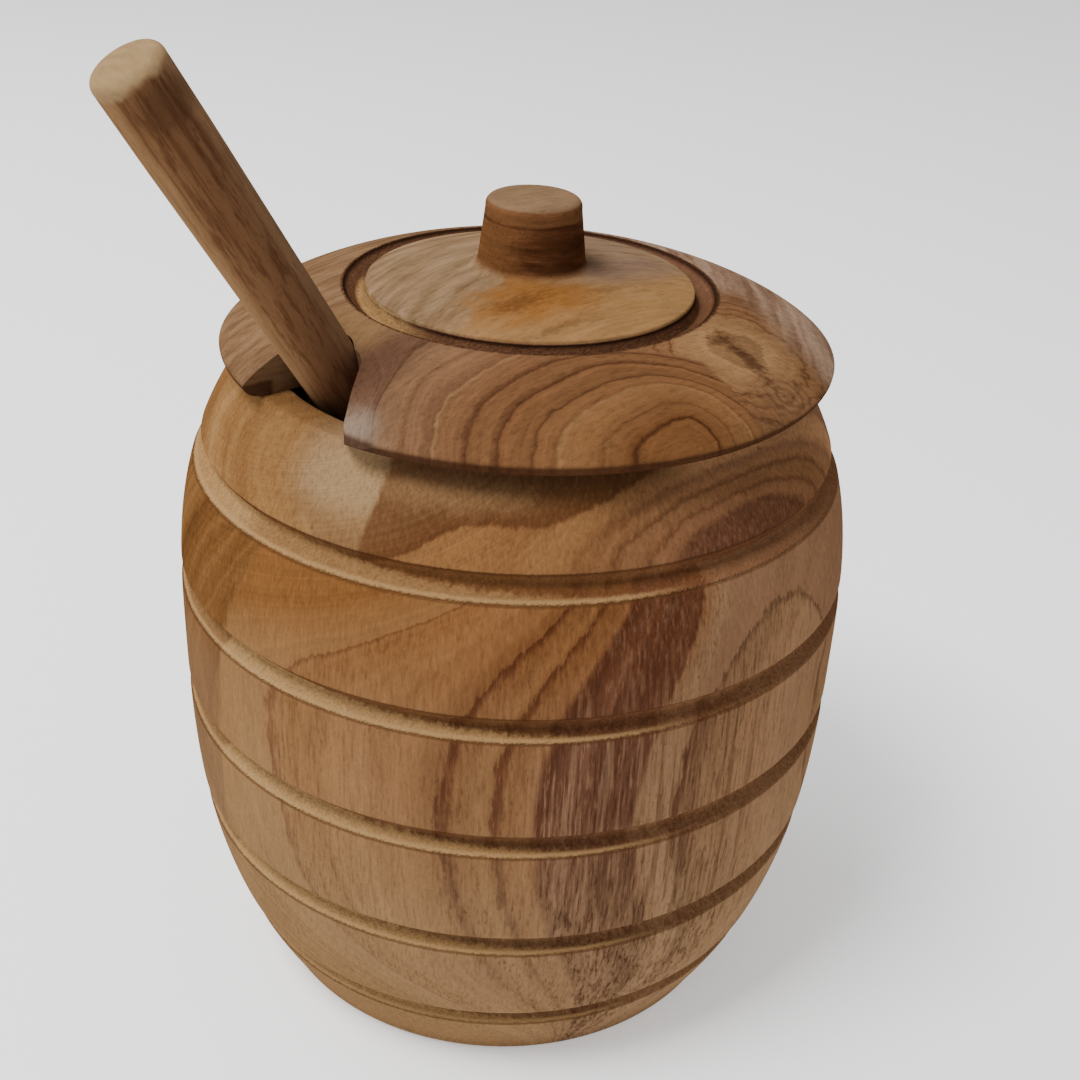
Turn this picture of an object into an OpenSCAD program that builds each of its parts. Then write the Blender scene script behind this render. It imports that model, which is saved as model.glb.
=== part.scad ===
// Turned wooden honey pot: a barrel with five grooves, a loose lid with a
// notch in its edge, and a dipper that leans out through the notch.
// Units are millimetres. The origin is the centre of the foot and +Z is up.
// The dipper leans toward -X, and the open side of the notch faces -X.

/* [Pot] */
// Widest diameter of the barrel
pot_d = 105; // [100:1:112]
// Height of the barrel, foot to rim
pot_h = 105; // [98:1:112]
// Diameter of the foot
foot_d = 79.4; // [74:0.2:84]
// Outside diameter at the rim
rim_d = 82.6; // [81:0.2:85]
// Diameter of the mouth
mouth_d = 73.8; // [72:0.2:75]
// Thickness of the wall below the mouth
wall = 9; // [7.5:0.5:10]
// Thickness of the floor
floor_t = 10; // [8:0.5:13]

/* [Grooves] */
// Number of turned grooves
groove_count = 5; // [1:1:5]
// Distance from one groove to the next
groove_pitch = 19.6; // [15:0.2:20]
// Distance of the top groove below the rim
groove_drop = 13.6; // [11:0.2:18]
// Width of a groove at the surface
groove_w = 3.8; // [2.4:0.2:5]
// Depth of a groove
groove_depth = 1.9; // [1:0.1:3]

/* [Lid] */
// Diameter of the lid
lid_d = 91.2; // [88:0.2:96]
// Rise of the dome above the lid's edge
dome_rise = 11.6; // [9:0.1:14]
// Depth of the plug that drops into the mouth
plug_depth = 5.7; // [3:0.1:8]
// Gap between the plug and the mouth, all round
plug_play = 1.6; // [1.2:0.1:2.4]
// How far the lid has slid along X inside that gap
lid_shift_x = 0.8; // [-0.8:0.1:0.8]
// How far the lid has slid along Y inside that gap
lid_shift_y = -0.6; // [-0.6:0.1:0.6]
// Diameter of the disc inside the ring groove
disc_d = 48.6; // [44:0.2:52]
// Diameter of the knob at its foot
knob_d = 15.8; // [13:0.2:19]
// Height of the knob above the disc
knob_h = 10.2; // [7:0.2:16]

/* [Notch] */
// Distance from the lid's centre to the notch's inner end
notch_in = 32.4; // [31:0.2:34]
// Radius of the notch's inner corner
notch_r = 6; // [4:0.5:8]
// Angle by which the notch's near side opens outward
notch_flare = 43.5; // [30:0.5:50]

/* [Dipper] */
// Lean of the dipper from upright
lean = 31.2; // [29:0.2:32]
// Length of the dipper
dipper_l = 162; // [150:1:175]
// Diameter of the handle at its top end
handle_d = 9.8; // [8.6:0.1:10]
// Widest diameter of the ridged head
head_d = 24; // [20:0.5:25]
// Length of the ridged head
head_l = 34; // [28:0.5:38]
// Number of ridges on the head
ridge_count = 6; // [4:1:7]

/* [Hidden] */
$fn = 96;
steps = 20;
rest_gap = 0.05;

pot_r = pot_d / 2;
foot_r = foot_d / 2;
rim_r = rim_d / 2;
mouth_r = mouth_d / 2;
waist_z = pot_h * 0.586;
foot_round = 1.6;
rim_round = 0.9;
well_round = 8;
neck_z = pot_h - 6.3;

lid_r = lid_d / 2;
lid_z = pot_h + rest_gap;
plug_r = mouth_r - plug_play;
seat_r = lid_r - 3.6;
edge_rise = 2.2;
disc_r = disc_d / 2;
ring_r = disc_r + 3.3;
ring_depth = 2;
disc_edge = 0.6;
disc_top = dome_rise + 1.6;
disc_fall = 0.0046;
knob_r = knob_d / 2;
knob_fillet = 1.5;
knob_taper = 0.85;
knob_round = 1.2;
tip_round = 5;
knob_top = disc_top - disc_fall * knob_r * knob_r + knob_h;

handle_r = handle_d / 2;
neck_r = handle_r - 1.1;
head_r = head_d / 2;
core_r = head_r * 0.5;
tip_r = head_r * 0.66;
ridge_half = head_l / ridge_count * 0.3;
ridge_pitch = (head_l - 2 * ridge_half) / (ridge_count - 1);
neck_l = 8;
end_round = 1.3;
lean_gap = 0.4;
slot_r = handle_r + 0.2;

// Outside radius of the barrel at height z, a cubic fall from the waist
function barrel(z) = z < waist_z
    ? pot_r - (pot_r - foot_r) * pow((waist_z - z) / waist_z, 3)
    : pot_r - (pot_r - rim_r) * pow((z - waist_z) / (pot_h - waist_z), 3);

// Height of the lid's dome over its edge, where the radius is lid_r * cos(a)
function dome(a) = edge_rise + dome_rise * pow(sin(a), 1.64);

// Radius of the head's ridge whose middle is t from the dipper's tip
function ridge_r(t) = head_r - (head_r - tip_r) * pow(2 * t / head_l - 1, 2);

// Radius of the handle at t from the dipper's tip
function shaft_r(t) = neck_r + (handle_r - neck_r)
    * min(1, (t - head_l - neck_l) / (dipper_l - 12 - head_l - neck_l));

// The dipper's tip rests on the floor and its handle leans on the mouth
tip_z = floor_t + rest_gap + (ridge_r(ridge_half) - ridge_half) * sin(lean)
    + ridge_half * (1 - cos(lean));
axis_x = -mouth_r + (shaft_r((pot_h - tip_z) / cos(lean)) + lean_gap) / cos(lean);
tip_x = axis_x + (pot_h - tip_z) * tan(lean);

// Point on a circle about c
function arc(c, r, a) = [c[0] + r * cos(a), c[1] + r * sin(a)];

module turned_groove(z) {
    r = barrel(z);
    slope = atan2(barrel(z + 1) - barrel(z - 1), 2);
    round_r = groove_depth * 0.3;
    translate([r, z])
        rotate(-slope)
            polygon(concat(
                [[2, -groove_w / 2 - 1.2], [2, groove_w / 2 + 1.2], [0, groove_w / 2]],
                [for (a = [120 : 20 : 240]) arc([round_r - groove_depth, 0], round_r, a)],
                [[0, -groove_w / 2]]));
}

module pot_outside() {
    foot_end = barrel(foot_round);
    rim_end = barrel(pot_h - rim_round);
    polygon(concat(
        [[0, 0]],
        [for (a = [-90 : 30 : 0]) arc([foot_end - foot_round, foot_round], foot_round, a)],
        [for (i = [1 : steps]) let (z = foot_round + (waist_z - foot_round) * i / steps)
            [barrel(z), z]],
        [for (i = [1 : steps]) let (z = waist_z + (pot_h - rim_round - waist_z) * i / steps)
            [barrel(z), z]],
        [for (a = [30 : 30 : 90]) arc([rim_end - rim_round, pot_h - rim_round], rim_round, a)],
        [[0, pot_h]]));
}

module well() {
    side_r = barrel(floor_t + well_round) - wall;
    start = floor_t + well_round;
    polygon(concat(
        [[0, floor_t]],
        [for (a = [-90 : 15 : 0]) arc([side_r - well_round, start], well_round, a)],
        [for (i = [1 : steps]) let (z = start + (neck_z - start) * i / steps)
            [max(barrel(z) - wall, mouth_r), z]],
        [[mouth_r, neck_z + 0.5], [mouth_r, pot_h - rim_round]],
        [for (a = [150 : -30 : 90]) arc([mouth_r + rim_round, pot_h - rim_round], rim_round, a)],
        [[mouth_r + rim_round, pot_h + 1], [0, pot_h + 1]]));
}

module pot() {
    color([0.72, 0.50, 0.29])
        rotate_extrude()
            difference() {
                pot_outside();
                well();
                for (i = [0 : groove_count - 1])
                    turned_groove(pot_h - groove_drop - i * groove_pitch);
            }
}

module lid_turning() {
    ring_a = acos(ring_r / lid_r);
    disc_z = disc_top - disc_fall * disc_r * disc_r;
    knob_z = disc_top - disc_fall * knob_r * knob_r;
    rotate_extrude()
        polygon(concat(
            [[0, -plug_depth], [plug_r - 1, -plug_depth], [plug_r, 1 - plug_depth], [plug_r, 0]],
            [for (i = [0 : 6]) let (a = i * 15)
                [seat_r + (lid_r - seat_r) * sin(a), edge_rise * (1 - cos(a))]],
            [for (i = [1 : steps]) let (a = ring_a * i / steps) [lid_r * cos(a), dome(a)]],
            [[disc_r + disc_edge + 0.4, dome(ring_a) - ring_depth],
             [disc_r + disc_edge, dome(ring_a) - ring_depth],
             [disc_r, disc_z - 0.2]],
            [for (i = [0 : 8]) let (r = disc_r - 0.2 - (disc_r - knob_r - knob_fillet - 0.2) * i / 8)
                [r, disc_top - disc_fall * r * r]],
            [for (a = [250 : -20 : 190])
                arc([knob_r + knob_fillet, knob_z + knob_fillet], knob_fillet, a)],
            [for (a = [0 : 15 : 90])
                arc([knob_r - knob_taper - knob_round, knob_top - knob_round], knob_round, a)],
            [[0, knob_top + 0.2]]));
}

// The near side runs out along the flare and rounds over into the lid's edge
module notch() {
    corner = [-notch_in - notch_r, -2.2];
    turn = 90 - notch_flare;
    near = arc(corner, notch_r, -turn);
    run_out = [-cos(notch_flare), -sin(notch_flare)];
    base = near + tip_round * [sin(notch_flare), -cos(notch_flare)];
    back = base * run_out;
    tip = base + run_out * (sqrt(back * back - base * base + pow(lid_r - tip_round, 2)) - back);
    tip_start = 90 + notch_flare;
    tip_end = atan2(tip[1], tip[0]) + 360;
    far_x = -lid_r - 6;
    outer = arc([0, 0], lid_r + 4, tip_end);
    translate([0, 0, -plug_depth - 1])
        linear_extrude(plug_depth + dome_rise + 4)
            polygon(concat(
                [[far_x, 1], [-notch_in, 1]],
                [for (i = [0 : 6]) arc(corner, notch_r, -turn * i / 6)],
                [for (i = [0 : 6]) arc(tip, tip_round, tip_start + (tip_end - tip_start) * i / 6)],
                [outer, [far_x, outer[1]]]));
}

// Slanted slot that the handle stands in, open outward so the lid lifts off
module slot() {
    translate([axis_x, 0, pot_h])
        rotate([0, -lean, 0])
            translate([0, 0, -30])
                union() {
                    cylinder(h = 60, r = slot_r);
                    translate([-40, -slot_r, 0])
                        cube([40, 2 * slot_r, 60]);
                }
}

module lid() {
    color([0.66, 0.44, 0.25])
        difference() {
            translate([lid_shift_x, lid_shift_y, lid_z])
                difference() {
                    lid_turning();
                    notch();
                }
            slot();
        }
}

module dipper() {
    top = dipper_l - end_round;
    color([0.60, 0.40, 0.22])
        translate([tip_x, 0, tip_z])
            rotate([0, -lean, 0])
                rotate_extrude()
                    polygon(concat(
                        [[0, 0]],
                        [for (i = [0 : ridge_count - 1])
                            let (t = ridge_half + i * ridge_pitch, r = ridge_r(t) - ridge_half)
                            each concat(
                                [[core_r, t - ridge_half]],
                                [for (a = [-90 : 30 : 90]) arc([r, t], ridge_half, a)],
                                [[core_r, t + ridge_half]])],
                        [[neck_r, head_l + neck_l], [handle_r, dipper_l - 12]],
                        [for (a = [0 : 15 : 90])
                            arc([handle_r - end_round, top], end_round, a)],
                        [[0, dipper_l + 0.4]]));
}

pot();
lid();
dipper();
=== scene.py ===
"""Turned honey pot with a loose lid and a dipper, dressed around its packed frame."""
import math

import bmesh
import bpy
from bpy.props import FloatProperty, FloatVectorProperty, IntProperty, PointerProperty
from mathutils import Matrix, Vector


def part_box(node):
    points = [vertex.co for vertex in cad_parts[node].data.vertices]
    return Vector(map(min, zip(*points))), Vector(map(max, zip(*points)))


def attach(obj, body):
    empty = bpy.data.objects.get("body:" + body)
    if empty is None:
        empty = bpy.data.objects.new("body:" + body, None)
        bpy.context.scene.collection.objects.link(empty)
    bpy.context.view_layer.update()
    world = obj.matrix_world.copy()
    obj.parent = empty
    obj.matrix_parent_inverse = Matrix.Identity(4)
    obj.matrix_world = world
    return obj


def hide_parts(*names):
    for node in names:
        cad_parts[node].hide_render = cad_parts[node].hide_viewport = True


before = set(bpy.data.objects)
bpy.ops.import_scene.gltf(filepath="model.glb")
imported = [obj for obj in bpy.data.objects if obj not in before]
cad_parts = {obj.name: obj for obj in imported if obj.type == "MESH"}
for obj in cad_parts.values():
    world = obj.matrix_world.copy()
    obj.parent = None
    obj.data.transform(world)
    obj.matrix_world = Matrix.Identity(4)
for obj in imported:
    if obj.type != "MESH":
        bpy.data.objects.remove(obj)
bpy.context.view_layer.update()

POT_LOW, POT_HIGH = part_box("pot")

bl_info = {
    "name": "Turned honey pot",
    "version": (1, 0, 0),
    "blender": (4, 5, 0),
    "location": "3D View > Sidebar > Honey pot",
    "description": "Builds a turned teak honey pot with a lift-off lid and a dipper",
    "category": "Add Mesh",
}

MM = 0.001
# How bright pale wood stands in the stage's light, and how much of each tone is taken back
STAGE_LIGHT = 1.78
MUTED = 0.07
# Gaps that keep the pieces from touching: lid on rim, handle on mouth, handle in slot
REST_GAP = 0.05 * MM
LEAN_GAP = 0.4 * MM
SLOT_GAP = 0.2 * MM
# Rounding of the handle's end, and how far its middle and the knob's stand proud
END_ROUND = 1.3 * MM
CAP_RISE = 0.4 * MM
KNOB_RISE = 0.2 * MM
# Depth of the wood's fine relief
RELIEF = 0.07 * MM


# ---------------------------------------------------------------- settings

def length(name, description, default):
    """A size in metres, given here in millimetres."""
    return FloatProperty(name=name, description=description, default=default * MM,
                         min=0.0, precision=5, subtype="DISTANCE", unit="LENGTH")


def linear(*values):
    """Screen values from 0 to 255 as a linear colour."""
    def one(v):
        v = v / 255
        return v / 12.92 if v <= 0.04045 else ((v + 0.055) / 1.055) ** 2.4
    return tuple(one(v) for v in values)


def wood(*values):
    """Base colour of wood that looks like these screen values in the stage's full light."""
    base = linear(*values)
    grey = sum(base) / 3
    return tuple((v + (grey - v) * MUTED) / STAGE_LIGHT for v in base)


def tone(name, description, *values):
    """A colour of wood, given here as screen values in the stage's full light."""
    return FloatVectorProperty(name=name, description=description, subtype="COLOR",
                               size=3, min=0.0, max=1.0, default=wood(*values))


class HoneyPotSizes(bpy.types.PropertyGroup):
    """Sizes of the barrel-shaped pot"""
    widest_d: length("Widest diameter", "Diameter of the barrel at its waist",
                     (POT_HIGH[0] - POT_LOW[0]) / MM)
    height: length("Height", "Foot to rim", (POT_HIGH[2] - POT_LOW[2]) / MM)
    foot_d: length("Foot diameter", "Diameter of the foot", 79.4)
    rim_d: length("Rim diameter", "Outside diameter at the rim", 82.6)
    mouth_d: length("Mouth diameter", "Diameter of the opening", 73.8)
    wall: length("Wall", "Thickness of the wall below the mouth", 9.0)
    floor_t: length("Floor", "Thickness of the floor", 10.0)
    groove_count: IntProperty(name="Grooves", description="Number of turned grooves",
                              default=5, min=1, max=5)
    groove_pitch: length("Groove pitch", "From one groove to the next", 19.6)
    groove_drop: length("Groove drop", "Top groove below the rim", 13.6)
    groove_w: length("Groove width", "Width of a groove at the surface", 3.8)
    groove_depth: length("Groove depth", "Depth of a groove", 1.9)


class HoneyLidSizes(bpy.types.PropertyGroup):
    """Sizes of the loose lid, its knob and its notch"""
    lid_d: length("Lid diameter", "Diameter of the lid", 91.2)
    dome_rise: length("Dome rise", "Rise of the dome above the lid's edge", 11.6)
    plug_depth: length("Plug depth", "Depth of the plug in the mouth", 5.7)
    plug_play: length("Plug play", "Gap between the plug and the mouth", 1.6)
    shift: FloatVectorProperty(name="Shift", description="How far the lid lies off centre",
                               size=2, subtype="XYZ", unit="LENGTH", precision=5,
                               default=(0.8 * MM, -0.6 * MM))
    disc_d: length("Disc diameter", "Diameter of the disc inside the ring groove", 48.6)
    knob_d: length("Knob diameter", "Diameter of the knob at its foot", 15.8)
    knob_h: length("Knob height", "Height of the knob above the disc", 10.2)
    notch_in: length("Notch reach", "From the lid's centre to the notch", 32.4)
    notch_r: length("Notch corner", "Radius of the notch's inner corner", 6.0)
    notch_flare: FloatProperty(name="Notch flare", description="How far the near side opens",
                               subtype="ANGLE", unit="ROTATION", default=math.radians(43.5))


class HoneyDipperSizes(bpy.types.PropertyGroup):
    """Sizes of the ridged dipper"""
    lean: FloatProperty(name="Lean", description="Lean of the dipper from upright",
                        subtype="ANGLE", unit="ROTATION", default=math.radians(31.2))
    dipper_l: length("Length", "Whole length of the dipper", 162.0)
    handle_d: length("Handle diameter", "Diameter at the handle's top end", 9.8)
    head_d: length("Head diameter", "Widest diameter of the head", 24.0)
    head_l: length("Head length", "Length of the ridged head", 34.0)
    ridge_count: IntProperty(name="Ridges", description="Number of ridges on the head",
                             default=6, min=4, max=7)


class HoneyColours(bpy.types.PropertyGroup):
    """Tones of the oiled teak"""
    low_side: tone("Low side", "Pale wood low on the barrel", 180, 145, 104)
    growth_line: tone("Growth lines", "Thin dark lines on the barrel", 98, 55, 34)
    groove: tone("Grooves", "Torn wood inside the turned grooves", 124, 77, 44)
    well: tone("Well", "Wood inside the pot", 126, 84, 44)
    disc_patch: tone("Disc patch", "Orange patch on the lid's disc", 154, 98, 38)
    knot: tone("Knot", "Dark middle of the knot in the lid", 70, 40, 25)
    knob_top: tone("Knob top", "End grain on top of the knob", 152, 118, 86)
    handle_streak: tone("Handle streaks", "Dark streaks down the handle", 92, 54, 32)
    handle_end: tone("Handle end", "End grain on the handle", 178, 144, 100)


# ---------------------------------------------------------------- turned shapes

def arc(centre, radius, start, end, steps):
    """Points of an arc in the profile's plane, angles in degrees."""
    points = []
    for i in range(steps + 1):
        a = math.radians(start + (end - start) * i / steps)
        points.append((centre[0] + radius * math.cos(a), centre[1] + radius * math.sin(a)))
    return points


def run(start, end, steps):
    """Points on a straight line after its start, end included."""
    return [(start[0] + (end[0] - start[0]) * i / steps,
             start[1] + (end[1] - start[1]) * i / steps) for i in range(1, steps + 1)]


def crown(rim, top, steps=6):
    """Points from a rim in to the axis, rising gently to the top."""
    shares = [1 - i / steps for i in range(1, steps + 1)]
    return [(rim[0] * out, rim[1] + (top - rim[1]) * (1 - out * out)) for out in shares]


def barrel(sizes, z):
    """Outside radius of the barrel at height z, a cubic fall from the waist."""
    waist = sizes.height * 0.586
    widest = sizes.widest_d / 2
    if z < waist:
        return widest - (widest - sizes.foot_d / 2) * ((waist - z) / waist) ** 3
    return widest - (widest - sizes.rim_d / 2) * ((z - waist) / (sizes.height - waist)) ** 3


def groove_cut(sizes, s):
    """Depth of a groove at s from its middle: a V with a rounded bottom and soft lips."""
    slope = sizes.groove_depth / (sizes.groove_w / 2)
    bottom, rise, lip = 0.42 * MM, 0.12 * MM, 0.14 * MM
    depth = sizes.groove_depth - slope * (math.sqrt(s * s + bottom * bottom) - rise)
    return 0.5 * (depth + math.sqrt(depth * depth + lip * lip))


def pot_profile(sizes):
    """Half section of the pot, foot centre to well centre, with groove and inside marks."""
    foot_round, rim_round, well_round = 1.6 * MM, 0.9 * MM, 8 * MM
    height, mouth = sizes.height, sizes.mouth_d / 2
    grooves = [height - sizes.groove_drop - i * sizes.groove_pitch
               for i in range(sizes.groove_count)]
    reach = sizes.groove_w / 2 + 0.9 * MM
    plain = [foot_round + (height - rim_round - foot_round) * i / 68 for i in range(1, 69)]
    plain = [z for z in plain if all(abs(z - g) > reach for g in grooves)]
    shares = (0.0, 0.1, 0.22, 0.36, 0.5, 0.62, 0.68, 0.74, 0.8, 0.88, 1.0)
    near = [g + side * share * reach for g in grooves for share in shares for side in (-1, 1)]
    rows = []

    def add(points, across=3.0, groove=0.0, inside=0.0):
        rows.extend((r, z, across, groove, inside) for r, z in points)

    foot_end = barrel(sizes, foot_round)
    add([(0.0, 0.0)] + run((0, 0), (foot_end - foot_round, 0), 8))
    add(arc((foot_end - foot_round, foot_round), foot_round, -80, 0, 6))
    for z in sorted(set(plain + near)):
        s = min((z - g for g in grooves), key=abs)
        cut = groove_cut(sizes, s) if abs(s) <= reach else 0.0
        across = max(-3.0, min(3.0, s / MM))
        add([(barrel(sizes, z) - cut, z)], across, float(abs(s) < reach * 1.01))
    rim_end = barrel(sizes, height - rim_round)
    add(arc((rim_end - rim_round, height - rim_round), rim_round, 15, 90, 6))
    add(run((rim_end - rim_round, height), (mouth + rim_round, height), 3))
    add(arc((mouth + rim_round, height - rim_round), rim_round, 105, 180, 6), inside=0.5)
    neck = height - 6.3 * MM
    add(run((mouth, height - rim_round), (mouth, neck + 0.5 * MM), 3), inside=1.0)
    start = sizes.floor_t + well_round
    for i in range(36):
        z = neck + (start - neck) * i / 36
        add([(max(barrel(sizes, z) - sizes.wall, mouth), z)], inside=1.0)
    side = barrel(sizes, start) - sizes.wall
    add(arc((side - well_round, start), well_round, 0, -90, 12), inside=1.0)
    add(run((side - well_round, sizes.floor_t), (0, sizes.floor_t), 14), inside=1.0)
    return rows


def lid_profile(sizes, mouth_r):
    """Half section of the lid, plug centre to knob centre, heights from its seat."""
    lid_r, edge_rise = sizes.lid_d / 2, 2.2 * MM
    plug_r = mouth_r - sizes.plug_play
    seat_r = lid_r - 3.6 * MM
    disc_r = sizes.disc_d / 2
    ring_r = disc_r + 3.3 * MM
    disc_top = sizes.dome_rise + 1.6 * MM
    knob_r = sizes.knob_d / 2

    def disc(r):
        return disc_top - 0.0046 / MM * r * r

    def dome(a):
        return edge_rise + sizes.dome_rise * math.sin(a) ** 1.64

    knob_top = disc(knob_r) + sizes.knob_h
    points = [(0.0, -sizes.plug_depth)]
    points += run((0, -sizes.plug_depth), (plug_r - MM, -sizes.plug_depth), 16)
    points += run((plug_r - MM, -sizes.plug_depth), (plug_r, MM - sizes.plug_depth), 3)
    points += run((plug_r, MM - sizes.plug_depth), (plug_r, -0.3 * MM), 4)
    points += arc((plug_r + 0.3 * MM, -0.3 * MM), 0.3 * MM, 180, 90, 3)
    points += run((plug_r + 0.3 * MM, 0), (seat_r, 0), 5)
    for i in range(1, 10):
        a = math.radians(i * 10)
        points.append((seat_r + (lid_r - seat_r) * math.sin(a), edge_rise * (1 - math.cos(a))))
    ring_a = math.acos(ring_r / lid_r)
    lip = 0.35 * MM
    for i in range(1, 34):
        a = ring_a * (i / 33) ** 1.15
        drop = lip * max(0.0, (i - 31) / 2) ** 2 * 0.5
        points.append((lid_r * math.cos(a), dome(a) - drop))
    groove_z = dome(ring_a) - 2.0 * MM
    top = points[-1]
    points += run(top, (disc_r + 1.25 * MM, groove_z + 0.1 * MM), 6)
    points += arc((disc_r + 0.9 * MM, groove_z + 0.3 * MM), 0.3 * MM, -60, -120, 2)
    edge_z = disc(disc_r)
    points += run((disc_r + 0.6 * MM, groove_z + 0.1 * MM), (disc_r, edge_z - 0.35 * MM), 4)
    points += arc((disc_r - 0.35 * MM, edge_z - 0.33 * MM), 0.35 * MM, 20, 80, 3)
    fillet = 1.5 * MM
    for i in range(1, 15):
        r = disc_r - 0.4 * MM - (disc_r - knob_r - fillet - 0.4 * MM) * i / 14
        points.append((r, disc(r)))
    points += arc((knob_r + fillet, disc(knob_r) + fillet), fillet, 258, 188, 6)
    knob_round, knob_taper = 1.2 * MM, 0.85 * MM
    cap_centre = (knob_r - knob_taper - knob_round, knob_top - knob_round)
    foot = points[-1]
    points += run(foot, (cap_centre[0] + knob_round, cap_centre[1] - 0.4 * MM), 7)
    points += arc(cap_centre, knob_round, 0, 85, 6)
    rim = points[-1]
    for out in (1 - i / 6 for i in range(1, 7)):
        level = knob_top + KNOB_RISE * (1 - out * out) + (rim[1] - knob_top) * out
        points.append((rim[0] * out, level))
    return [(r, z, 3.0, 0.0, 0.0) for r, z in points]


class Shaft:
    """Where the dipper stands: its tip on the floor, its handle on the mouth's edge."""

    def __init__(self, pot, sizes):
        self.head_l, self.length, self.lean = sizes.head_l, sizes.dipper_l, sizes.lean
        self.head_r, self.handle_r = sizes.head_d / 2, sizes.handle_d / 2
        self.neck_r = self.handle_r - 1.1 * MM
        self.half = self.head_l / sizes.ridge_count * 0.3
        self.pitch = (self.head_l - 2 * self.half) / (sizes.ridge_count - 1)
        self.tip_z = (pot.floor_t + REST_GAP
                      + (self.ridge(self.half) - self.half) * math.sin(self.lean)
                      + self.half * (1 - math.cos(self.lean)))
        rise = (pot.height - self.tip_z) / math.cos(self.lean)
        self.axis_x = -pot.mouth_d / 2 + (self.radius(rise) + LEAN_GAP) / math.cos(self.lean)
        self.tip_x = self.axis_x + (pot.height - self.tip_z) * math.tan(self.lean)
        self.matrix = (Matrix.Translation((self.tip_x, 0, self.tip_z))
                       @ Matrix.Rotation(-self.lean, 4, "Y"))

    def ridge(self, t):
        return self.head_r - self.head_r * 0.34 * (2 * t / self.head_l - 1) ** 2

    def radius(self, t):
        share = (t - self.head_l - 8 * MM) / (self.length - 20 * MM - self.head_l)
        return self.neck_r + (self.handle_r - self.neck_r) * max(0.0, min(1.0, share))


def dipper_profile(shaft, ridge_count):
    """Half section of the dipper, tip centre to handle end, along its own axis."""
    core = shaft.head_r * 0.5
    points = [(0.0, 0.0)] + run((0, 0), (core, 0), 3)
    for i in range(ridge_count):
        t = shaft.half + i * shaft.pitch
        r = shaft.ridge(t) - shaft.half
        if i:
            points += run((core, t - shaft.pitch + shaft.half), (core, t - shaft.half), 3)
        points += run((core, t - shaft.half), (r, t - shaft.half), 3)[:-1]
        points += arc((r, t), shaft.half, -90, 90, 8)
        points += run((r, t + shaft.half), (core, t + shaft.half), 3)
    neck_t = shaft.head_l + 8 * MM
    last = points[-1]
    points += [(core + (shaft.neck_r - core) * (0.5 - 0.5 * math.cos(math.pi * i / 8)),
                last[1] + (neck_t - last[1]) * i / 8) for i in range(1, 9)]
    end_t = shaft.length - END_ROUND
    levels = [neck_t + (end_t - neck_t) * i / 48 for i in range(1, 49)]
    points += [(shaft.radius(t), t) for t in levels]
    points += arc((shaft.handle_r - END_ROUND, end_t), END_ROUND, 12, 84, 6)
    points += crown(points[-1], shaft.length + CAP_RISE)
    return [(r, t, 3.0, 0.0, 0.0) for r, t in points]


# ---------------------------------------------------------------- the lathe

class Wire:
    """A node socket, of a shader or of a shape, that works in Python sums."""

    def __init__(self, bench, socket):
        self.bench, self.socket = bench, socket

    def __add__(self, other): return self.bench.math("ADD", self, other)
    def __radd__(self, other): return self.bench.math("ADD", other, self)
    def __sub__(self, other): return self.bench.math("SUBTRACT", self, other)
    def __rsub__(self, other): return self.bench.math("SUBTRACT", other, self)
    def __mul__(self, other): return self.bench.math("MULTIPLY", self, other)
    def __rmul__(self, other): return self.bench.math("MULTIPLY", other, self)
    def __truediv__(self, other): return self.bench.math("DIVIDE", self, other)
    def __rtruediv__(self, other): return self.bench.math("DIVIDE", other, self)
    def __pow__(self, other): return self.bench.math("POWER", self, other)
    def __abs__(self): return self.bench.math("ABSOLUTE", self)


class Bench:
    """Adds nodes to a tree: settings first, then the values or links of the sockets."""

    def __init__(self, tree):
        self.tree = tree

    def math(self, operation, *values):
        return self.node("ShaderNodeMath", {"operation": operation}, dict(enumerate(values)))

    def node(self, kind, settings=None, sockets=None, out=0):
        made = self.tree.nodes.new(kind)
        for key, value in (settings or {}).items():
            if key == "stops":
                elements = made.color_ramp.elements
                while len(elements) > 1:
                    elements.remove(elements[-1])
                elements[0].position, elements[0].color = value[0][0], (*value[0][1], 1.0)
                for place, colour in value[1:]:
                    elements.new(place).color = (*colour, 1.0)
            else:
                setattr(made, key, value)
        for key, value in (sockets or {}).items():
            socket = made.inputs[key]
            if isinstance(value, Wire):
                self.tree.links.new(value.socket, socket)
            else:
                socket.default_value = value
        return Wire(self, made.outputs[out])


# Marks that a half section carries from point to point: how far a point lies above the
# middle of the nearest groove in millimetres, how near that groove is, whether it is inside
MARKS = ("across", "groove", "inside")


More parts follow.
